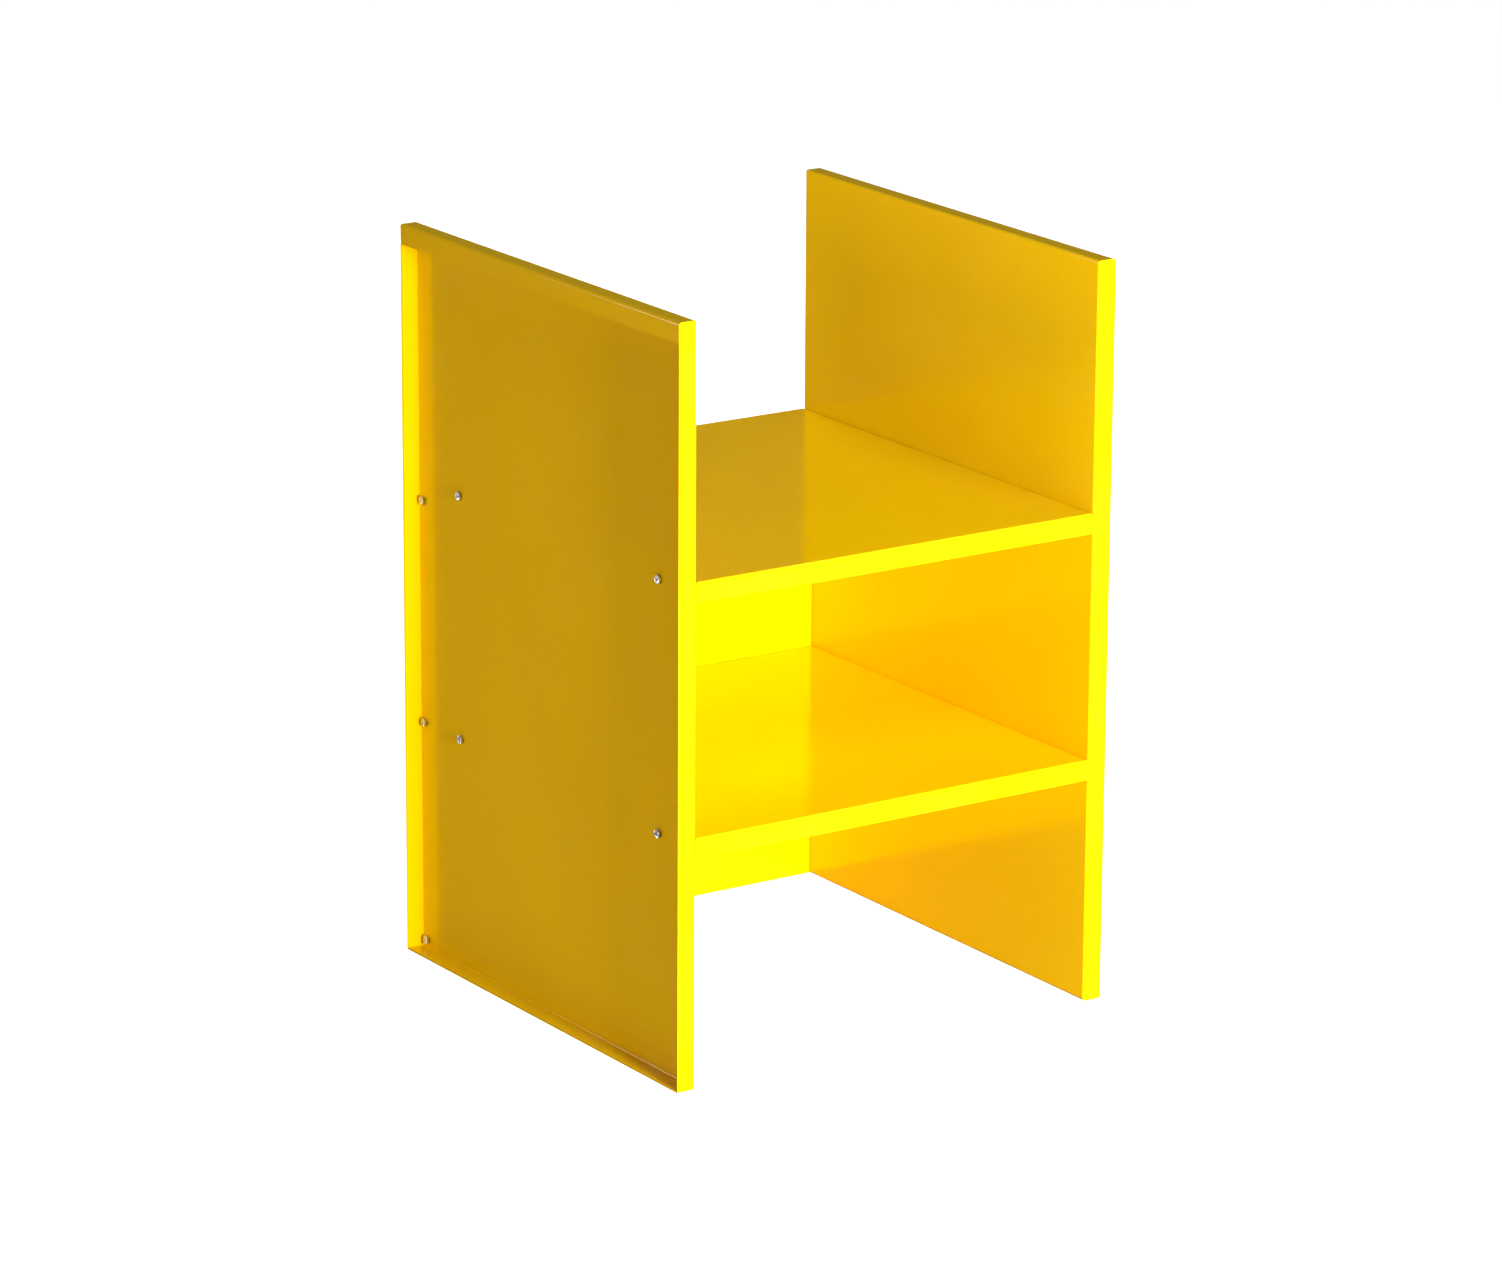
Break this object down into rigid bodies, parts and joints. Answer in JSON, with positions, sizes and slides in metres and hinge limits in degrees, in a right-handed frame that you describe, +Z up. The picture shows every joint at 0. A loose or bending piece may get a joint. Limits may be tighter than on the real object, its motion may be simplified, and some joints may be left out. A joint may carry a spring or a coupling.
{
  "type": "sheet metal armchair",
  "caption": "Open armchair of folded yellow-enamelled sheet metal: two tall side trays bolted to a seat, a lower shelf and a low back panel.",
  "frame": {"origin": "middle of the footprint, on the floor", "axes": "+X across the seat to the right-hand side as seen from the front, +Y to the back, +Z up; the open front faces -Y"},
  "size_m": [0.5, 0.5, 0.75],
  "materials": {
    "yellow_enamel": "gloss",
    "bright_steel": "satin"
  },
  "bodies": {
    "root": {"left_side_panel": "yellow_enamel", "right_side_panel": "yellow_enamel", "seat_panel": "yellow_enamel", "lower_shelf": "yellow_enamel", "back_panel": "yellow_enamel", "back_bolt_left_bottom": "bright_steel", "back_bolt_left_middle": "bright_steel", "back_bolt_left_top": "bright_steel", "back_bolt_right_bottom": "bright_steel", "back_bolt_right_middle": "bright_steel", "back_bolt_right_top": "bright_steel", "back_nut_left_bottom": "bright_steel", "back_nut_left_middle": "bright_steel", "back_nut_left_top": "bright_steel", "back_nut_right_bottom": "bright_steel", "back_nut_right_middle": "bright_steel", "back_nut_right_top": "bright_steel", "back_washer_left_bottom": "bright_steel", "back_washer_left_middle": "bright_steel", "back_washer_left_top": "bright_steel", "back_washer_right_bottom": "bright_steel", "back_washer_right_middle": "bright_steel", "back_washer_right_top": "bright_steel", "seat_bolt_left_front": "bright_steel", "seat_bolt_left_rear": "bright_steel", "seat_bolt_right_front": "bright_steel", "seat_bolt_right_rear": "bright_steel", "seat_nut_left_front": "bright_steel", "seat_nut_left_rear": "bright_steel", "seat_nut_right_front": "bright_steel", "seat_nut_right_rear": "bright_steel", "seat_washer_left_front": "bright_steel", "seat_washer_left_rear": "bright_steel", "seat_washer_right_front": "bright_steel", "seat_washer_right_rear": "bright_steel", "shelf_bolt_left_front": "bright_steel", "shelf_bolt_left_rear": "bright_steel", "shelf_bolt_right_front": "bright_steel", "shelf_bolt_right_rear": "bright_steel", "shelf_nut_left_front": "bright_steel", "shelf_nut_left_rear": "bright_steel", "shelf_nut_right_front": "bright_steel", "shelf_nut_right_rear": "bright_steel", "shelf_washer_left_front": "bright_steel", "shelf_washer_left_rear": "bright_steel", "shelf_washer_right_front": "bright_steel", "shelf_washer_right_rear": "bright_steel"}
  },
  "joints": []
}
